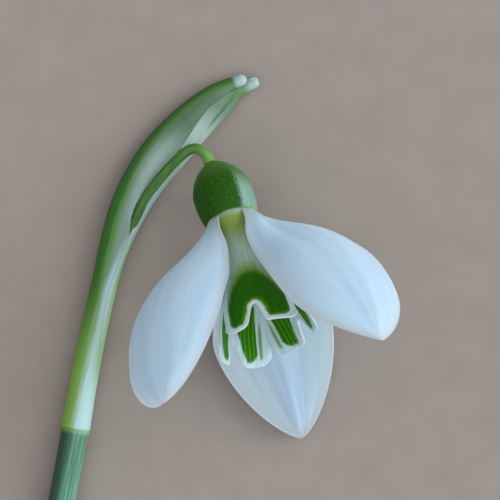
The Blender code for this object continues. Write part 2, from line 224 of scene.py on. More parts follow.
# each sun lamp: strength, colour, how wide it looks, and the way from the flower towards it
LIGHTS = dict(
    window=(2.42, (0.755, 0.885, 1.0), 45, (1.0, 0.4, 0.45)),
    low=(0.86, (0.755, 0.885, 1.0), 70, (0.7, -0.75, 0.45)),
    fill=(1.27, (0.79, 0.89, 1.0), 95, (-0.05, -0.25, 1.0)),
)
SKY_COLOUR, SKY_STRENGTH = (0.8, 0.88, 1.0, 1.0), 0.38


def tones(**shown):
    """Colours given as they look on a screen, 0 to 255, turned into the light they reflect."""
    light = {}
    for name, levels in shown.items():
        levels = np.array(levels) / 255
        curved = ((levels + 0.055) / 1.055) ** 2.4
        light[name] = tuple(np.where(levels <= 0.04045, levels / 12.92, curved))
    return SimpleNamespace(**light)


# the third and fourth tones are painted shade and painted light for the back tepal's inner face
PETAL = tones(
    white=(203, 226, 255), shade=(197, 220, 252), grey=(174, 184, 184), bright=(210, 237, 255),
    claw=(168, 190, 172), vein=(192, 212, 228),
)
INNER = tones(
    white=(208, 224, 222), shade=(190, 208, 204), margin=(236, 246, 234), waist=(182, 198, 164),
    rib=(200, 214, 192), olive=(142, 160, 78), foot=(150, 174, 136),
)
MARK = tones(
    green=(72, 142, 4), deep=(40, 104, 0), edge=(140, 168, 60), stripe=(48, 120, 0),
    faint=(128, 160, 84), line=(112, 166, 40),
)
# the third and fourth tones are a waxy bloom with painted sheen, and the sixth is a painted
# highlight
OVARY = tones(
    green=(46, 94, 6), deep=(28, 68, 6), bloom=(138, 170, 150), pale=(116, 148, 100),
    fleck=(72, 122, 20), top=(92, 138, 54), rim=(120, 164, 76), underside=(170, 188, 162),
)
KEEL = tones(green=(60, 114, 34), dark=(44, 74, 34), light=(104, 152, 62), flank=(156, 190, 128))
SPATHE = tones(
    membrane=(96, 122, 90), dark=(84, 110, 76), pale=(184, 202, 186), slit=(92, 124, 66),
    seam=(110, 140, 124), lip=(190, 210, 212), hood=(182, 197, 191), green=(136, 178, 72),
    white=(190, 216, 206),
)
# the second tone is painted shade for one side of the flower stalk
SCAPE = tones(
    green=(70, 122, 84), dark=(30, 70, 36), pale=(112, 158, 128), pith=(178, 204, 150),
    rim=(168, 200, 140),
)
PEDICEL = tones(green=(84, 134, 42), dark=(54, 98, 34), pale=(128, 176, 74))
INSIDE = tones(
    anther=(236, 168, 40), anther_dark=(190, 116, 20), filament=(226, 232, 206),
    style=(168, 196, 104),
)
FLOOR = tones(paper=(162, 145, 131))
# how much darker the paper's grain is
FLOOR_GRAIN = 0.94


# -------- curves and vectors
def cubic(x, wide, start, end, leaving, arriving):
    """A stretch of a smooth curve at the share x of its width, with its values and slopes."""
    return (
        start * (1 + 2 * x) * (1 - x) ** 2
        + leaving * wide * x * (1 - x) ** 2
        + end * x * x * (3 - 2 * x)
        + arriving * wide * x * x * (x - 1)
    )


def smooth(keys, at):
    """A smooth curve through (place, value) keys that never overshoots them, read at each place."""
    places, values = np.array(keys, float).T
    steps = np.diff(values) / np.diff(places)
    slopes = np.zeros(len(places))
    slopes[0], slopes[-1] = steps[0], steps[-1]
    for i in range(1, len(places) - 1):
        before, after = steps[i - 1], steps[i]
        if before * after > 0:
            slopes[i] = 2 / (1 / before + 1 / after)
    at = np.clip(at, places[0], places[-1])
    i = np.clip(np.searchsorted(places, at, side="right") - 1, 0, len(places) - 2)
    wide = places[i + 1] - places[i]
    x = (at - places[i]) / wide
    return cubic(x, wide, values[i], values[i + 1], slopes[i], slopes[i + 1])


def distances_along(points):
    return np.concatenate([[0], np.cumsum(np.linalg.norm(np.diff(points, axis=0), axis=1))])


def curve_through(points, count):
    """Evenly spaced points on one smooth curve through the given points."""
    points = np.asarray(points, float)
    run = distances_along(points)
    slopes = np.gradient(points, run, axis=0)
    at = np.linspace(0, run[-1], 1200)
    i = np.clip(np.searchsorted(run, at, side="right") - 1, 0, len(run) - 2)
    wide = (run[i + 1] - run[i])[:, None]
    x = (at - run[i])[:, None] / wide
    fine = cubic(x, wide, points[i], points[i + 1], slopes[i], slopes[i + 1])
    along = distances_along(fine)
    return read_between(np.linspace(0, along[-1], count), along, fine)


def read_between(at, places, points):
    """Points given at these places, read at others along straight lines between them."""
    return np.stack([np.interp(at, places, points[:, k]) for k in range(3)], axis=-1)


def unit(vectors):
    return vectors / np.linalg.norm(vectors, axis=-1, keepdims=True)


def step(value, low, high):
    """0 at low and 1 at high, with a soft slope between."""
    x = np.clip((value - low) / (high - low), 0, 1)
    return x * x * (3 - 2 * x)


def flower_axes(lean, tilt):
    """Unit vectors: along the flower's axis to its mouth, towards its upper side, and across."""
    lean, tilt = math.radians(lean), math.radians(tilt)
    level = math.cos(tilt)
    along = np.array([level * math.sin(lean), -level * math.cos(lean), math.sin(tilt)])
    across = np.array([math.cos(lean), math.sin(lean), 0.0])
    return along, np.cross(along, across), across


def turned(vectors, about, angles):
    """Vectors turned about unit vectors by angles in radians."""
    c, s = np.cos(angles)[:, None], np.sin(angles)[:, None]
    lengthwise = about * np.sum(about * vectors, axis=-1, keepdims=True)
    return vectors * c + np.cross(about, vectors) * s + lengthwise * (1 - c)


def full_turn(columns):
    return np.linspace(0, 2 * math.pi, columns, endpoint=False)


# -------- meshes
def put_in_scene(name, data):
    thing = bpy.data.objects.new(name, data)
    bpy.context.scene.collection.objects.link(thing)
    return thing


def make_piece(name, points, faces, channels, slot, node, material):
    """A closed mesh from points in the drawing's frame, with a number per point and channel.

    It replaces the node's plain solid. The makers below hand slot, node and material on to it; slot
    is not used.
    """
    points = (points - DRAWING_CENTRE) * MM
    faces = [tuple(int(v) for v in face) for face in faces]
    corners = np.array([(f[0], f[k], f[k + 1]) for f in faces for k in range(1, len(f) - 1)])
    a, b, c = (points[corners[:, k]] - points.mean(axis=0) for k in range(3))
    if np.sum(a * np.cross(b, c)) < 0:
        faces = [face[::-1] for face in faces]
    mesh = bpy.data.meshes.new(name)
    mesh.from_pydata(points.tolist(), [], faces)
    for channel, values in channels.items():
        layer = mesh.attributes.new(channel, "FLOAT", "POINT")
        layer.data.foreach_set("value", np.asarray(values, np.float32))
    mesh.shade_smooth()
    mesh.materials.append(material)
    piece = put_in_scene(name, mesh)
    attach(piece, "root")
    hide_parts(node)


def grid_normals(grid, closed=None):
    """Unit normals of a grid of points. In the closed rows the first and last columns meet."""
    down = np.gradient(grid, axis=0)
    over = np.gradient(grid, axis=1)
    if closed is not None:
        over[closed, 0] = over[closed, -1] = (grid[closed, 1] - grid[closed, -2]) / 2
    return unit(np.cross(over, down))


def sheet_piece(name, grid, half, channels, *piece, closed=None, torn=None):
    """A thin closed body round a grid of points: grid +- half along its normals, joined at its rim.

    A channel is one array for both faces, or a pair for the two. closed marks the rows whose ends
    meet, and torn marks the squares that are left out.
    """
    rows, columns = grid.shape[:2]
    count = rows * columns
    offset = grid_normals(grid, closed) * half[..., None]
    index = np.arange(count).reshape(rows, columns)
    if closed is not None:
        index[closed, -1] = index[closed, 0]
    squares = np.stack([index[:-1, :-1], index[1:, :-1], index[1:, 1:], index[:-1, 1:]], axis=-1)
    squares = squares.reshape(-1, 4) if torn is None else squares[~torn]
    ends = np.concatenate([squares[:, [k, (k + 1) % 4]] for k in range(4)])
    _, where, times = np.unique(
        np.sort(ends, axis=1), axis=0, return_index=True, return_counts=True
    )
    rim = ends[where[times == 1]]
    walls = np.stack([rim[:, 1], rim[:, 0], rim[:, 0] + count, rim[:, 1] + count], axis=-1)
    faces = np.concatenate([squares, squares[:, ::-1] + count, walls])
    points = np.concatenate([(grid + offset).reshape(-1, 3), (grid - offset).reshape(-1, 3)])
    used, faces = np.unique(faces, return_inverse=True)
    stored = {}
    for channel, values in channels.items():
        front, back = values if isinstance(values, tuple) else (values, values)
        stored[channel] = np.concatenate([front.ravel(), back.ravel()])[used]
    make_piece(name, points[used], faces.reshape(-1, 4), stored, *piece)


def ring_piece(name, grid, channels, *piece):
    """A closed body from rings of points, each column meeting the first, with both ends filled."""
    rows, columns = grid.shape[:2]
    index = np.arange(rows * columns).reshape(rows, columns)
    following = np.roll(index, -1, axis=1)
    squares = np.stack([index[:-1], index[1:], following[1:], following[:-1]], axis=-1)
    faces = list(squares.reshape(-1, 4))
    top, bottom = rows * columns, rows * columns + 1
    faces += [(top, a, b) for a, b in zip(index[0], following[0])]
    faces += [(bottom, b, a) for a, b in zip(index[-1], following[-1])]
    points = np.concatenate([grid.reshape(-1, 3), [grid[0].mean(axis=0), grid[-1].mean(axis=0)]])
    stored = {
        channel: np.concatenate([values.ravel(), [values[0].mean(), values[-1].mean()]])
        for channel, values in channels.items()
    }
    make_piece(name, points, faces, stored, *piece)


def rings(line, way, radii, flat=1.0):
    """Rings of points round a line that runs this way, and how far left and up each point is."""
    way = np.broadcast_to(way, line.shape)
    left = unit(np.cross(UP, way))
    up = np.cross(way, left) * flat
    turn = full_turn(radii.shape[1])
    c, s = (np.broadcast_to(share, radii.shape) for share in (np.cos(turn), np.sin(turn)))
    ring = c[..., None] * left[:, None] + s[..., None] * up[:, None]
    return line[:, None] + radii[..., None] * ring, dict(left=c, up=s)


def per_ring(values, columns):
    """One value for each ring, given to all its points."""
    return np.repeat(np.asarray(values)[:, None], columns, axis=1)


def rim_distance(flat):
    """How far each point of a flattened sheet is from its sides and its end, in the same unit."""
    edge = np.concatenate([flat[:, 0], flat[-1, 1:], flat[-2::-1, -1]])
    start, run = edge[:-1], np.diff(edge, axis=0)
    kept = np.sum(run * run, axis=1) > 1e-12
    nearest = np.full(flat.shape[:2], np.inf)
    for begin, way in zip(start[kept], run[kept]):
        place = np.clip((flat - begin) @ way / (way @ way), 0, 1)
        gap = np.linalg.norm(flat - begin - place[..., None] * way, axis=-1)
        nearest = np.minimum(nearest, gap)
    return nearest


# -------- node materials
class Shade:
    """A node material: each method adds nodes and returns their output."""

    def __init__(self, name, **settings):
        self.material = bpy.data.materials.new(name)
        self.material.use_nodes = True
        self.tree = self.material.node_tree
        self.shader = self.tree.nodes["Principled BSDF"]
        for socket, value in settings.items():
            self.shader.inputs[socket.replace("_", " ")].default_value = value

    def add(self, kind, inputs, **settings):
        node = self.tree.nodes.new(kind)
        for name, value in settings.items():
            setattr(node, name, value)
        for socket, value in inputs.items():
            if isinstance(value, bpy.types.NodeSocket):
                self.tree.links.new(value, node.inputs[socket])
            elif isinstance(value, tuple) and node.inputs[socket].type == "RGBA":
                node.inputs[socket].default_value = (*value, 1.0)
            else:
                node.inputs[socket].default_value = value
        return node

    def read(self, channels):
        """The numbers that the piece's points carry under these names."""
        return [
            self.add("ShaderNodeAttribute", {}, attribute_name=channel).outputs["Fac"]
            for channel in channels.split()
        ]

    def maths(self, operation, *values):
        node = self.add("ShaderNodeMath", dict(enumerate(values)), operation=operation)
        return node.outputs[0]

    def times(self, *values):
        return reduce(lambda a, b: self.maths("MULTIPLY", a, b), values)

    def plus(self, *values):
        return reduce(lambda a, b: self.maths("ADD", a, b), values)

    def minus(self, value, taken):
        return self.maths("SUBTRACT", value, taken)

    def span(self, value, low, high, start=0.0, end=1.0):
        """value from low to high turned softly into start to end."""
        inputs = {"Value": value, "From Min": low, "From Max": high, "To Min": start, "To Max": end}
        node = self.add("ShaderNodeMapRange", inputs, interpolation_type="SMOOTHSTEP")
        return node.outputs["Result"]

    def fade(self, value, low, high, start=1.0):
        """start below low, turned softly into nothing above high."""
        return self.span(value, low, high, start, 0.0)

    def place(self, x, y, z=0.0):
        return self.add("ShaderNodeCombineXYZ", {"X": x, "Y": y, "Z": z}).outputs[0]

    def noise(self, where, scale, detail=3.0):
        inputs = {"Vector": where, "Scale": scale, "Detail": detail, "Roughness": 0.55}
        return self.add("ShaderNodeTexNoise", inputs).outputs["Fac"]

    def streaks(self, across, often, along, seldom, detail=3.0):
        """Noise drawn out lengthwise: it changes often across and seldom along."""
        where = self.place(self.times(across, often), self.times(along, seldom))
        return self.noise(where, 1.0, detail)

    def swing(self, noise, amount):
        """A noise about zero, as wide as amount."""
        return self.times(self.minus(noise, 0.5), amount)

    def mix(self, share, below, above):
        inputs = {"Factor": share, 6: below, 7: above}
        return self.add("ShaderNodeMix", inputs, data_type="RGBA").outputs[2]

    def tint(self, colour, towards, *shares):
        """colour turned towards another, by the product of the shares."""
        return self.mix(self.times(*shares), colour, towards)

    def finish(self, colour, grain=None, roughness=None, height=None, relief=0.0):
        """Links what the surface shows. A grain sets its roughness; relief is a bump's height."""
        self.tree.links.new(colour, self.shader.inputs["Base Color"])
        if grain is not None:
            rough = self.span(grain, 0.3, 0.7, *roughness)
            self.tree.links.new(rough, self.shader.inputs["Roughness"])
            inputs = {"Height": height, "Distance": relief * MM, "Strength": 1.0}
            bump = self.add("ShaderNodeBump", inputs)
            self.tree.links.new(bump.outputs[0], self.shader.inputs["Normal"])
        return self.material


def soft_tissue(name, depth, weight, **settings):
    """A Shade whose light spreads inside, as far as depth."""
    settings.update(Subsurface_Weight=weight, Subsurface_Scale=depth * MM)
    return Shade(name, Subsurface_Radius=(0.85, 0.95, 1.0), **settings)


def outer_tepal_material(name, paint_shading):
    """Bluish white with faint lengthwise veins and a greenish claw; if asked, painted shade and
    painted light inside.
    """
    s = soft_tissue(name, 1.2, 0.9, Roughness=0.5, Specular_IOR_Level=0.3, Sheen_Weight=0.05)
    along, side, rim, within, wide, long = s.read("along side rim within wide long")
    streak = s.streaks(side, 4.0, along, 1.6)
    fine = s.streaks(side, 30.0, along, 3.0, 2.0)
    cells = s.noise(s.place(wide, long), 9.0, 2.0)
    colour = s.mix(s.span(streak, 0.38, 0.62), PETAL.shade, PETAL.white)
    faint = s.plus(0.12, s.times(within, 0.3))
    colour = s.tint(colour, PETAL.vein, s.span(fine, 0.5, 0.72), faint)
    # painted shade on the near side of the inner face and painted light on its far side
    if paint_shading:
        across = s.plus(side, s.times(streak, 0.8))
        grey = s.mix(s.span(across, -0.3, 1.0), PETAL.grey, colour)
        grey = s.tint(grey, PETAL.bright, s.span(across, 0.3, 1.1))
        colour = s.tint(colour, grey, within)
    colour = s.tint(colour, PETAL.white, s.fade(rim, 0.0, 0.35, 0.5))
    colour = s.tint(colour, PETAL.claw, s.fade(along, *CLAW, 0.9))
    height = s.plus(s.times(fine, 0.8), s.times(cells, 0.25), s.times(streak, 5.0))
    return s.finish(colour, cells, (0.44, 0.56), height, 0.02)


def inner_tepal_material(name):
    """White with a green mark on the outer face and green stripes on the inner one."""
    s = soft_tissue(name, 0.25, 0.4, Roughness=0.5, Specular_IOR_Level=0.08)
    along, rim, wide, long = s.read("along rim wide long")
    crown, within = s.read("crown within")
    aside = s.maths("ABSOLUTE", wide)
    streak = s.streaks(wide, 3.2, long, 0.25)
    ribs = s.streaks(wide, 7.0, long, 0.3, 2.0)
    cells = s.noise(s.place(wide, long), 10.0, 2.0)
    uneven = s.noise(s.place(wide, long), 0.9, 2.0)

    # plain tissue: olive foot, grey-green waist with pale ribs, white towards the lobes
    waist = s.mix(s.span(ribs, 0.42, 0.62), INNER.waist, INNER.rib)
    white = s.mix(s.span(streak, 0.4, 0.7), INNER.white, INNER.shade)
    colour = s.mix(s.span(along, *WAIST_END), waist, white)
    colour = s.tint(colour, INNER.olive, s.fade(along, *FOOT_OLIVE))
    colour = s.tint(colour, INNER.foot, s.fade(along, *FOOT_PALE))

    # outer face: one mark that bends round the notch, with a soft streaked top
    crown = s.plus(crown, s.swing(streak, 1.2))
    edge = s.plus(rim, s.swing(streak, 0.35), s.swing(uneven, 0.3))
    edge = s.minus(edge, s.span(aside, 2.4, 3.9, 0.0, 0.75))
    mark = s.tint(MARK.green, MARK.edge, s.span(ribs, 0.45, 0.7, 0.0, 0.15))
    deep = s.times(s.span(edge, 0.6, 1), s.span(streak, 0.35, 0.65, 0.8))
    mark = s.tint(mark, MARK.deep, s.span(crown, 0.4, 1.6), deep)
    margin = s.fade(edge, 0.4, 0.75)
    outer = s.tint(colour, INNER.margin, margin, s.span(long, *MARGIN_FROM))
    halo = s.span(edge, MARK_MARGIN - 0.1, MARK_MARGIN + 0.1)
    outer = s.tint(outer, MARK.edge, s.span(crown, -1.2, 0.6, 0.0, 0.95), halo)
    body = s.span(edge, MARK_MARGIN, MARK_MARGIN + 0.2)
    outer = s.tint(outer, mark, s.span(crown, 0.2, 1.2), body)

    # inner face: parallel stripes each side of a white middle band, and a lone one further out
    lines = s.span(s.maths("SINE", s.times(wide, 2 * math.pi / STRIPE_PITCH)), 0.45, 0.98, 1.0, 0.3)
    stripes = s.mix(lines, MARK.line, MARK.stripe)
    off = s.times(s.minus(aside, STRIPES_MIDDLE), 1 / STRIPES_HALF)
    reach = s.plus(s.minus(edge, s.times(off, off, 0.9)), s.swing(ribs, 0.5))
    raised = s.span(long, *STRIPES_FROM)
    lone = s.fade(s.maths("ABSOLUTE", s.minus(aside, LONE_STRIPE)), 0.1, 0.26, 0.9)
    inner = s.tint(colour, MARK.faint, lone, s.span(rim, 0.45, 0.8), raised)
    band = s.fade(s.maths("ABSOLUTE", off), 0.84, 1.1)
    inner = s.tint(inner, stripes, band, s.span(reach, 0.25, 0.6), raised)

    height = s.plus(ribs, s.times(cells, 0.3))
    colour = s.mix(within, outer, inner)
    return s.finish(colour, cells, (0.38, 0.5), height, 0.022)


def ovary_material():
    """Dark green and satin, with a painted top highlight, a flank of bloom and painted sheen, a
    pale underside.
    """
    s = Shade("ovary_skin", Specular_IOR_Level=0.14, Coat_Weight=0.02, Coat_Roughness=0.3)
    along, over, left, flank = s.read("along over left flank")
    wide, long, deep = s.read("wide long deep")
    speck = s.noise(s.place(wide, s.times(long, 0.35), deep), 8.5)
    streak = s.streaks(left, 12.0, along, 2.0)
    colour = s.mix(s.span(speck, 0.3, 0.66), OVARY.deep, OVARY.green)
    colour = s.tint(colour, OVARY.fleck, s.span(speck, 0.56, 0.74, 0.0, 0.35))
    colour = s.tint(colour, OVARY.deep, s.span(streak, 0.45, 0.75, 0.0, 0.4))
    # painted highlight: lighter green towards the top
    colour = s.tint(colour, OVARY.top, s.span(along, *OVARY_PAINTED_HIGHLIGHT, 0.0, 0.6))
    # the pale flank: a waxy bloom, with painted sheen where the light falls on that side
    flank = s.plus(flank, s.plus(s.swing(streak, 0.6), s.swing(speck, 1.1)))
    bloom = s.times(s.span(flank, -0.15, 0.6), s.span(along, *OVARY_BLOOM_AND_SHEEN_END, 1.0, 0.15))
    sheen_tone = s.mix(s.span(along, *OVARY_SHEEN_TONES), OVARY.bloom, OVARY.pale)
    colour = s.tint(colour, sheen_tone, bloom, s.span(streak, 0.3, 0.7, 0.8))
    rim = s.fade(along, 0.0, OVARY_RIM, 0.8)
    colour = s.tint(colour, OVARY.rim, s.span(flank, -0.2, 0.5, 0.2), rim)
    colour = s.tint(colour, OVARY.underside, over)
    return s.finish(colour, speck, (0.34, 0.46), speck, 0.025)


def spathe_material():
    """Two green keels joined by a grey-green membrane with pale margins, white at the tips."""
    s = soft_tissue("spathe_skin", 0.3, 0.25, Specular_IOR_Level=0.35)
    along, across, first, second = s.read("along across first second")
    lip, tip = s.read("lip tip")

    def above(*places):
        return s.span(along, *places)

    def below(*places):
        return s.fade(along, *places)

    streak = s.streaks(across, 3.0, along, 5.0)
    fine = s.streaks(across, 9.0, along, 9.0)
    wobble = s.swing(streak, 0.7)

    # the membrane, paler in its middle and on the far side, and the white sheath below it
    tissue = s.mix(s.span(fine, 0.35, 0.68), SPATHE.dark, SPATHE.membrane)
    middle = s.times(above(0.5, 0.68, 0.38, 0.7), below(0.7, 0.82), s.span(first, 1.2, 2.4, 0.35))
    far = s.times(s.span(across, 2.6, 3.6, 0.0, 0.85), above(0.8, 0.92, 1.0, 0.15))
    pale = s.plus(s.maths("MAXIMUM", middle, far), s.span(streak, 0.45, 0.8, 0.0, 0.1))
    tissue = s.tint(tissue, SPATHE.pale, pale)
    colour = s.tint(tissue, SPATHE.white, below(*SHEATH_END))

    # the first keel: a green band with a lighter border, a dark crest and dark flecks
    away = s.plus(first, s.plus(wobble, s.swing(fine, 1.1)))
    inside = s.minus(above(0.52, 0.9, 1.75, 1.15), away)
    fresh = below(*FRESH_END)
    border = s.mix(fresh, KEEL.light, SPATHE.green)
    core = s.mix(fresh, KEEL.green, SPATHE.green)
    fading = above(0.52, 0.7, 0.85, 0.35)
    colour = s.tint(colour, border, s.span(inside, -0.35, 0.25), fading)
    colour = s.tint(colour, core, s.span(inside, 0.0, 0.75))
    crest = s.fade(first, 0.0, 0.55)
    colour = s.tint(colour, KEEL.dark, crest, above(0.2, 0.6, 0.0, 0.8))
    flecked = s.times(s.fade(first, 0.7, 1.3, 0.6), above(0.45, 0.6))
    colour = s.tint(colour, KEEL.dark, s.span(fine, 0.58, 0.7), flecked)

    # the second keel: a thin line by the hoods, the slit's olive edge and a green lower flank
    aside = s.maths("ABSOLUTE", s.plus(second, s.times(wobble, 0.1)))
    line = s.maths("DIVIDE", aside, above(0.84, 0.99, 0.12, 0.22))
    keel = s.mix(above(0.93, 0.99), KEEL.green, KEEL.light)
    colour = s.tint(colour, keel, s.fade(line, 0.4, 1.3, 0.8), above(*KEEL_LINE_FROM))
    slit = s.times(s.fade(lip, 0.04, 0.22, 0.5), above(0.8, 0.88))
    colour = s.tint(colour, SPATHE.slit, slit)
    flank = s.times(s.fade(second, 1.1, 2.3, 0.9), above(0.06, 0.2))
    colour = s.tint(colour, KEEL.flank, flank, below(0.44, 0.5))

    # a pale band along the seam, which goes over into the slit's pale margins, and a crease
    seam = s.plus(lip, s.times(wobble, 0.3))
    band = s.times(s.fade(seam, 0.15, 0.6, 0.8), above(0.2, 0.36), above(*SEAM_END, 1.0, 0.45))
    margin = s.times(s.fade(lip, 0.1, 0.6), below(0.7, 0.77), s.span(across, -0.2, 0.2, 0.2))
    margin = s.times(margin, above(SLIT_FROM, SLIT_FROM + 0.05, 0.45, 0.9))
    opened = above(SLIT_FROM - 0.02, SLIT_FROM + 0.02)
    colour = s.tint(colour, SPATHE.lip, s.plus(band, s.times(opened, s.minus(margin, band))))
    crease = s.times(s.fade(seam, 0.03, 0.12, 0.35), above(0.1, 0.2))
    colour = s.tint(colour, SPATHE.seam, crease, below(0.45, 0.48))

    hood = s.tint(colour, SPATHE.hood, s.span(s.plus(tip, wobble), -1.2, -0.2))
    colour = s.tint(colour, hood, s.span(streak, 0.3, 0.6, 1.0, 0.8))
    height = s.plus(fine, s.times(streak, 0.6))
    return s.finish(colour, fine, (0.44, 0.58), height, 0.02)


def scape_material():
    """Green with fine lengthwise lines, painted shade on one side, a pale ring at the node and a
    pale cut end.
    """
    s = Shade("scape_skin", Specular_IOR_Level=0.45)
    left, up, ahead, hub, cut = s.read("left up ahead hub cut")
    ring = s.place(s.times(left, 3.0), s.times(up, 3.0), s.times(ahead, 0.05))
    lines = s.noise(ring, 2.2)
    fine = s.noise(ring, 7.0, 2.0)
    colour = s.mix(s.span(lines, 0.38, 0.62), SCAPE.green, SCAPE.pale)
    # painted shade: darker on the side away from the light
    colour = s.tint(colour, SCAPE.dark, s.span(left, -0.4, 0.75, 0.0, 0.9))
    rim = s.mix(s.span(left, -0.5, 0.5), SCAPE.rim, SPATHE.green)
    colour = s.tint(colour, rim, s.span(ahead, -0.7, -0.1, 0.0, 0.6))
    heart = s.mix(s.span(hub, 0.55, 0.95), SCAPE.pith, SCAPE.green)
    colour = s.tint(colour, heart, cut)
    height = s.plus(lines, s.times(fine, 0.5))
    return s.finish(colour, lines, (0.36, 0.5), height, 0.04)


def pedicel_material():
    """Green, darker in the sheath and paler where it bends over."""
    s = Shade("pedicel_skin", Specular_IOR_Level=0.45)
    along, left, up = s.read("along left up")
    ring = s.place(s.times(left, 2.0), s.times(up, 2.0), s.times(along, 8.0))
    lines = s.noise(ring, 2.0)
    colour = s.mix(s.span(lines, 0.35, 0.65), PEDICEL.dark, PEDICEL.green)
    colour = s.tint(colour, PEDICEL.pale, s.span(along, *PEDICEL_BEND, 0.0, 0.7))
    return s.finish(colour, lines, (0.36, 0.48), lines, 0.03)


def stamen_material():
    """A pale filament and an orange anther with a grained skin."""
    s = Shade("stamen_skin", Specular_IOR_Level=0.4)
    left, up, long = s.read("left up long")
    grain = s.noise(s.place(left, up, long), 6.0)
    anther = s.mix(s.span(grain, 0.35, 0.65), INSIDE.anther_dark, INSIDE.anther)
    colour = s.mix(s.span(long, *ANTHER_FROM), INSIDE.filament, anther)
    return s.finish(colour, grain, (0.5, 0.65), grain, 0.03)


def style_material():
    """Pale green with a faint grain."""
    s = Shade("style_skin", Specular_IOR_Level=0.4)
    grain = s.noise(s.place(*s.read("left up long")), 5.0, 2.0)
    colour = s.mix(s.span(grain, 0.3, 0.7), INSIDE.style, INSIDE.filament)
    return s.finish(colour, grain, (0.4, 0.55), grain, 0.02)


# -------- tepals
def tepal_grid(rim, axes, ring, outline, cup, spec, lengths, across):
    """Points of a tepal's middle surface: rows along its length, columns across its width."""
    along, front, side = axes
    azimuth = math.radians(spec["azimuth"])
    outward = math.cos(azimuth) * front + math.sin(azimuth) * side
    sideways = np.cross(along, outward)
    places = np.linspace(0, 1, 120)
    spread = np.radians(smooth(spec["spread"], places))[:, None]
    sway = np.radians(smooth(spec["sway"], places))[:, None]
    heading = (
        np.cos(spread) * np.cos(sway) * along
        + np.sin(spread) * np.cos(sway) * outward
        + np.sin(sway) * sideways
    )
    pace = spec["length"] * places[1]
    rib = np.vstack([np.zeros(3), np.cumsum((heading[1:] + heading[:-1]) * pace / 2, axis=0)])
    rib += rim + outward * ring
    facing = np.cos(spread) * outward - np.sin(spread) * along
    facing = unit(facing - heading * np.sum(heading * facing, axis=-1, keepdims=True))
    facing = turned(facing, heading, np.radians(smooth(spec["roll"], places)))
    width_way = np.cross(heading, facing)

    half = spec["half_width"] * outline(lengths, across)
    arc = np.radians(smooth(cup, lengths))
    radius = half / arc
    angle = arc * across
    rib, width_way, facing = (read_between(lengths, places, v) for v in (rib, width_way, facing))
    return (
        rib
        + (radius * np.sin(angle))[..., None] * width_way
        - (radius * (1 - np.cos(angle)))[..., None] * facing
    )


def outward_normals(grid):
    """A tepal's unit normals, on its convex side."""
    normals = grid_normals(grid)
    middle = grid.shape[1] // 2
    bulge = grid[:, middle] - (grid[:, 0] + grid[:, -1]) / 2
    return normals * np.sign(np.sum(bulge * normals[:, middle]))


def tepal_shares(rows, columns, last=1.0):
    """Places on a tepal, closer together near its tip and its sides."""
    down = last * (1 - (1 - np.linspace(0, 1, rows)) ** 1.5)
    q = np.linspace(-1, 1, columns)
    over = 0.45 * q + 0.55 * np.sin(q * math.pi / 2)
    return np.meshgrid(down, over, indexing="ij")


def tepal_channels(grid, normals, outline, spec, lengths, across):
    """Where each point lies on the tepal laid flat, and which of the two faces is the inner one."""
    wide = across * outline(lengths, across) * spec["half_width"]
    long = lengths * spec["length"]
    ones, zeros = np.ones_like(lengths), np.zeros_like(lengths)
    inner_first = np.sum(grid_normals(grid) * normals) < 0
    return dict(
        along=lengths,
        rim=rim_distance(np.stack([wide, long], axis=-1)),
        wide=wide,
        long=long,
        within=(ones, zeros) if inner_first else (zeros, ones),
    )


def add_outer_tepal(side, spec, rim, axes):
    """A large cupped tepal with folds, thinner towards its rim."""
    lengths, across = tepal_shares(130, 73, 0.9985)
    power, rounding = spec["tip"]

    def outline(at, aside):
        u = np.clip((at - OUTER_TIP_FROM) / (1 - OUTER_TIP_FROM), 0, 1)
        near, far = smooth(spec["near"], at), smooth(spec["far"], at)
        return (near + (far - near) * (1 + aside) / 2) * (1 - u**power) ** rounding

    cup = BACK_CUP if side == "back" else OUTER_CUP
    grid = tepal_grid(rim, axes, OUTER_RING, outline, cup, spec, lengths, across)
    normals = outward_normals(grid)
    channels = tepal_channels(grid, normals, outline, spec, lengths, across)
    channels["side"] = across
    from_rim = channels["rim"]
    inward = step(from_rim, *FOLDS_RIM) * step(lengths, *FOLDS_FOOT) * step(lengths, *FOLDS_TIP)
    folds = sum(
        height
        * np.cos(math.pi * count * across + spec["azimuth"] + 1.5 * np.sin(2.2 * lengths + count))
        for count, height in OUTER_FOLDS
    )
    middle = across - OUTER_RIDGE_SLANT * (lengths - 0.5)
    ridges = sum(
        height * np.exp(-(((middle - at) / OUTER_RIDGE_WIDTH) ** 2))
        for at, height in OUTER_RIDGES[side]
    )
    grid = grid + normals * ((OUTER_FOLDED[side] * folds + ridges) * inward)[..., None]
    wall = OUTER_EDGE + (OUTER_WALL - OUTER_EDGE) * step(from_rim, -0.2, OUTER_EDGE_REACH)
    # the back tepal gets painted shade and painted light on its inner face
    skin = outer_tepal_material(f"petal_{side}_skin", side == "back")
    node = "outer_tepal_" + side
    sheet_piece("petal_" + side, grid, wall / 2, channels, "outer_tepal", node, skin)


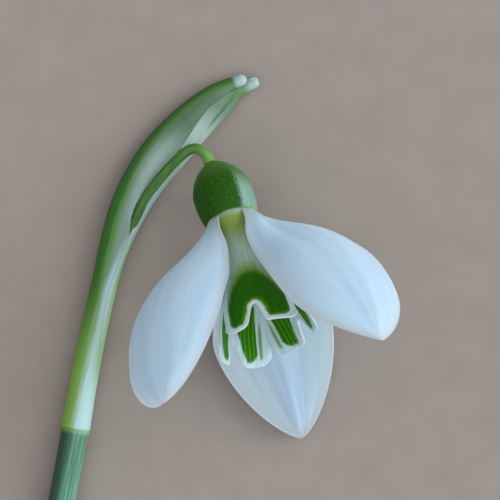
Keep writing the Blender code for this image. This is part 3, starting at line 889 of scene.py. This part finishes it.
def add_inner_tepal(side, place, rim, axes):
    """A short notched tepal whose end flares a little."""
    shares, across = tepal_shares(150, 121)
    from_notch = across - place["notch_at"]
    from_notch = np.abs(from_notch) / np.where(from_notch < 0, *INNER_NOTCH_WIDTHS)
    notch = INNER_NOTCH_DEPTH * np.exp(-(from_notch**INNER_NOTCH_POWER))
    corner = INNER_CORNER * np.abs(across) ** INNER_CORNER_POWER
    lengths = shares * (1 - notch - corner)
    spec = dict(place, spread=INNER_SPREAD, roll=STRAIGHT)

    def outline(at, _):
        return smooth(INNER_OUTLINE, at)

    grid = tepal_grid(rim, axes, place["ring"], outline, INNER_CUP, spec, lengths, across)
    normals = outward_normals(grid)
    channels = tepal_channels(grid, normals, outline, spec, lengths, across)
    channels["crown"] = channels["long"] - MARK_TOP - MARK_DROP * channels["wide"] ** 2
    flare = INNER_FLARE * step((1 - shares) * place["length"], INNER_FLARE_REACH, 0.0) ** 2
    grid = grid + normals * flare[..., None]
    from_rim = channels["rim"]
    round_edge = np.sqrt(1 - (1 - np.clip(from_rim / INNER_EDGE_REACH, 0.02, 1)) ** 2)
    half = INNER_WALL / 2 * round_edge * (0.7 + 0.3 * step(from_rim, 0.0, 1.2))
    skin = inner_tepal_material(f"inner_petal_{side}_skin")
    node = "inner_tepal_" + side
    sheet_piece("inner_petal_" + side, grid, half, channels, "inner_tepal", node, skin)


# -------- stalks, spathe, ovary
def add_spathe():
    """The split sheath with its two keels and hoods. Returns its line and the way it runs."""
    rows, columns, caps = 240, 145, 14
    shares = np.linspace(0, 1, rows)
    line = curve_through([(x, y, 0.0) for x, y in SPATHE_LINE], rows)
    way = unit(np.gradient(line, axis=0))
    keel_way = np.stack([-way[:, 1], way[:, 0], np.zeros(rows)], axis=-1)
    near = np.arccos(1 - 2 * smooth(SLIT_LIP_NEAR, shares))
    far = np.arccos(1 - 2 * smooth(SLIT_LIP_FAR, shares)) - 2 * math.pi
    angle = near[:, None] + (far - near)[:, None] * np.linspace(0, 1, columns)
    second = np.radians(smooth(SECOND_KEEL, shares) - 360)[:, None]
    half_wall = SPATHE_WALL / 2
    width = (smooth(SPATHE_WIDTHS, shares) - half_wall)[:, None]
    height = (smooth(SPATHE_HEIGHTS, shares) - half_wall)[:, None]
    grid = line[:, None] + (width * np.cos(angle))[..., None] * keel_way[:, None]
    grid[..., 2] = half_wall + height * (1 + np.sin(angle))

    # the two valves roll up into the hoods, which end in domes
    split = round(FIRST_HOOD_SHARE * (columns - 1))
    closing = step(shares, HOODS_FROM, 1.0)[:, None]
    domes = []
    for hood, part, keel in (
        (HOODS["first"], slice(0, split + 1), 0.0),
        (HOODS["second"], slice(split + 1, columns), second),
    ):
        ring = math.radians(hood["keel"]) + (angle[:, part] - keel) * hood["roll"]
        centre = line + keel_way * hood["aside"] + way * hood["ahead"] * closing
        centre[:, 2] = hood["high"]
        circle = centre[:, None] + hood["radius"] * (
            np.cos(ring)[..., None] * keel_way[:, None] + np.sin(ring)[..., None] * UP
        )
        grid[:, part] += (circle - grid[:, part]) * closing[..., None]
        bend = np.radians(np.linspace(0, HOOD_BEND, caps + 1))[1:, None]
        ahead = np.sin(bend)[..., None] * way[-1] * hood["radius"]
        domes.append(centre[-1] + ahead + (circle[-1] - centre[-1]) * np.cos(bend)[..., None])
    grid = np.concatenate([grid, np.concatenate(domes, axis=1)])
    stay = np.concatenate([np.arange(rows), np.full(caps, rows - 1)])
    shares, angle = shares[stay], angle[stay]
    closed = shares < SLIT_FROM

    # distances round the sheath from each keel and from the nearer lip
    gaps = np.linalg.norm(np.diff(grid, axis=1), axis=-1)
    run = np.concatenate([np.zeros((len(grid), 1)), np.cumsum(gaps, axis=1)], axis=1)
    around = run[:, -1:]
    lip = np.minimum(run, around - run)
    from_keels = []
    for keel in (np.zeros(len(grid)), second[stay, 0]):
        at_keel = [np.interp(-k, -a, r) for a, k, r in zip(angle, keel, run)]
        from_keels.append(run - np.array(at_keel)[:, None])
    across = from_keels[0].copy()
    for gap in from_keels:
        wrapped = closed[:, None] & (np.abs(gap) > around / 2)
        gap[wrapped] -= (np.sign(gap) * around)[wrapped]

    tip = per_ring((shares - 1) * distances_along(line)[-1], columns)
    tip[rows:] = 0.5
    for gap in from_keels:
        rise = KEEL_RISE * np.exp(-((gap / KEEL_REACH) ** 2)) * step(tip, -0.6, -2.0)
        grid = grid - rise[..., None] * grid_normals(grid, closed)
    torn = np.zeros((len(grid) - 1, columns - 1), bool)
    torn[int(rows * HOODS_APART_FROM):, split] = True
    thinned = step(shares, SLIT_FROM, SLIT_FROM + 0.03)[:, None] * step(lip, 0.7, 0.0)
    channels = dict(
        along=per_ring(shares, columns),
        across=across,
        first=np.abs(from_keels[0]),
        second=np.abs(from_keels[1]),
        lip=lip,
        tip=tip,
    )
    sheet_piece(
        "spathe_sheath", grid, half_wall * (1 - LIP_THINNED * thinned), channels, "spathe",
        "spathe", spathe_material(), closed=closed, torn=torn,
    )
    return line, way


def add_scape(node, way):
    """The grooved stalk, from the swollen node that the spathe grows from to the cut end."""
    rows, columns, ends = 90, 72, 8
    down = np.linspace(0, 1, rows) * SCAPE_LENGTH
    line = node - way * down[:, None]
    line[:, 2] = SCAPE_RADIUS
    swell = NODE_SWELL * np.exp(-((down / NODE_REACH) ** 2))
    grooves = SCAPE_GROOVE_DEPTH * np.cos(SCAPE_GROOVES * full_turn(columns))
    radius = SCAPE_RADIUS * (1 + swell[:, None] - SCAPE_THINNED + grooves)
    inward = np.linspace(0.1, 0.96, ends)[:, None]
    radii = np.concatenate([radius[:1] * inward, radius, radius[-1:] * inward[::-1]])
    place = np.repeat(line, [ends + 1] + [1] * (rows - 2) + [ends + 1], axis=0)
    place[:ends] += way * SCAPE_TOP_RISE
    place[-ends:] -= way * SCAPE_CUT_RISE
    grid, channels = rings(place, way, radii, SCAPE_FLAT)
    grid[..., 2] = np.maximum(grid[..., 2], 0.0)
    cut = np.zeros(radii.shape)
    cut[-ends:] = 1.0
    channels["ahead"] = per_ring((place - node) @ way, columns)
    channels.update(hub=radii / SCAPE_RADIUS, cut=cut)
    ring_piece("flower_stalk", grid, channels, "scape", "scape", scape_material())


def add_pedicel():
    """The thin stalk that leaves the slit and bends over to the ovary."""
    rows, columns = 200, 36
    line = curve_through(PEDICEL_LINE, rows)
    shares = np.linspace(0, 1, rows)
    rounded_start = np.sqrt(np.clip(shares * 160 + 0.02, 0, 1))
    radii = per_ring(PEDICEL_RADIUS * smooth(PEDICEL_TAPER, shares) * rounded_start, columns)
    grid, channels = rings(line, unit(np.gradient(line, axis=0)), radii)
    channels["along"] = per_ring(shares, columns)
    ring_piece("flower_pedicel", grid, channels, "pedicel", "pedicel", pedicel_material())


def add_ovary(rim):
    """The ovary, with soft flat sides and a low domed underside inside the flower."""
    columns = 120
    under = np.linspace(0.06, 0.97, 12)
    shares = np.linspace(0, 1, 70)
    radii = np.concatenate([OVARY_PROFILE[0][1] * under, smooth(OVARY_PROFILE, shares)])
    radii = np.append(radii, radii[-1] * 0.5)
    distances = np.concatenate(
        [-UNDERSIDE_RISE * np.sqrt(1 - under**2), shares * OVARY_LENGTH, [OVARY_LENGTH + 0.05]]
    )
    turn = full_turn(columns)
    flat = 2 * math.pi / OVARY_FLATS
    from_middle = np.mod(turn - math.radians(OVARY_RIDGE), flat) - flat / 2
    faceted = OVARY_FLATNESS * (1 / np.cos(from_middle) - 1)
    towards_top = step(np.concatenate([under, shares[::-1], [0]]), 0.0, 0.5)[:, None]
    reach = radii[:, None] * (1 + (faceted - faceted.mean()) * towards_top)
    axis = -flower_axes(OVARY_LEAN, FLOWER_TILT)[0]
    grid, channels = rings(rim + distances[:, None] * axis, axis, reach)
    # the flank that gets the pale bloom and painted sheen
    start, end = np.radians(OVARY_SHEEN_FLANK)
    over = np.zeros(reach.shape)
    over[: len(under)] = step(under, 1.0, 0.9)[:, None]
    channels.update(
        along=per_ring(np.concatenate([0 * under, shares, [1.0]]), columns),
        over=over,
        wide=reach * channels["left"],
        deep=reach * channels["up"],
        long=per_ring(distances, columns),
        flank=reach * np.maximum(np.minimum(turn - start, end - turn), -0.5),
    )
    ring_piece("seed_ovary", grid, channels, "ovary", "ovary", ovary_material())


def add_turned_piece(name, profile, base, axis, *piece):
    """A slender round organ on a straight axis."""
    rows, columns = 60, 20
    distances = np.linspace(profile[0][0], profile[-1][0], rows)
    radii = per_ring(smooth(profile, distances), columns)
    grid, channels = rings(base + distances[:, None] * axis, axis, radii)
    channels["long"] = per_ring(distances, columns)
    ring_piece(name, grid, channels, *piece)


def add_inside(rim, axes):
    """The style on the axis, and the stamens in a ring round it."""
    along, front, side = axes
    middle = rim + along * STAMEN_DROP
    skin = style_material()
    add_turned_piece("pale_style", STYLE_PROFILE, middle, along, "style", "style", skin)
    skin = stamen_material()
    lean = math.radians(STAMEN_LEAN)
    for number in range(1, STAMEN_COUNT + 1):
        turn = math.radians(360 * (number - 0.5) / STAMEN_COUNT)
        outward = math.cos(turn) * front + math.sin(turn) * side
        axis = math.cos(lean) * along - math.sin(lean) * outward
        base = middle + outward * STAMEN_RING
        name, node = f"anther_{number}", f"stamen_{number}"
        add_turned_piece(name, STAMEN_PROFILE, base, axis, "stamen", node, skin)


# -------- floor, light and camera
def add_floor():
    """A plain table top with a faint grain."""
    mesh = bpy.data.meshes.new("floor")
    signs = [(-1, -1), (1, -1), (1, 1), (-1, 1)]
    reach = FLOOR_REACH * MM
    mesh.from_pydata([(x * reach, y * reach, 0.0) for x, y in signs], [], [(0, 1, 2, 3)])
    paper = Shade("floor_paper", Roughness=0.9)
    where = paper.add("ShaderNodeTexCoord", {}).outputs["Object"]
    darker = tuple(FLOOR_GRAIN * level for level in FLOOR.paper)
    colour = paper.mix(paper.span(paper.noise(where, 260.0), 0.3, 0.7), darker, FLOOR.paper)
    mesh.materials.append(paper.finish(colour))
    put_in_scene("floor", mesh)


def add_lights():
    """Soft lights from a long way off, and a dim sky."""
    world = bpy.data.worlds.new("studio")
    world.use_nodes = True
    back = world.node_tree.nodes["Background"]
    back.inputs["Color"].default_value = SKY_COLOUR
    back.inputs["Strength"].default_value = SKY_STRENGTH
    bpy.context.scene.world = world
    for name, (strength, colour, angle, way) in LIGHTS.items():
        light = bpy.data.lights.new(name, "SUN")
        light.energy = strength
        light.color = colour
        light.angle = math.radians(angle)
        x, y, z = unit(np.array(way))
        put_in_scene(name, light).rotation_euler = (0.0, math.acos(z), math.atan2(y, x))
    bpy.context.scene.view_settings.view_transform = "Standard"


def add_view():
    """A camera high over the flower, looking straight down."""
    lens = bpy.data.cameras.new("camera")
    lens.sensor_width = SENSOR
    lens.lens = SENSOR * (CAMERA_HEIGHT - VIEW_PLANE) / VIEW_WIDTH
    lens.clip_start, lens.clip_end = 0.01, 100.0
    camera = put_in_scene("camera", lens)
    camera.location = [c * MM for c in (*CAMERA_OVER, CAMERA_HEIGHT)]
    bpy.context.scene.camera = camera


def main():
    add_view()
    add_floor()
    add_lights()
    rim = np.array(RIM_CENTRE)
    axes = flower_axes(FLOWER_LEAN, FLOWER_TILT)
    line, way = add_spathe()
    add_scape(line[0], way[0])
    add_pedicel()
    add_ovary(rim)
    for side, spec in OUTER_TEPALS.items():
        add_outer_tepal(side, spec, rim, axes)
    for side, place in INNER_TEPALS.items():
        add_inner_tepal(side, place, rim, axes)
    add_inside(rim, axes)


main()
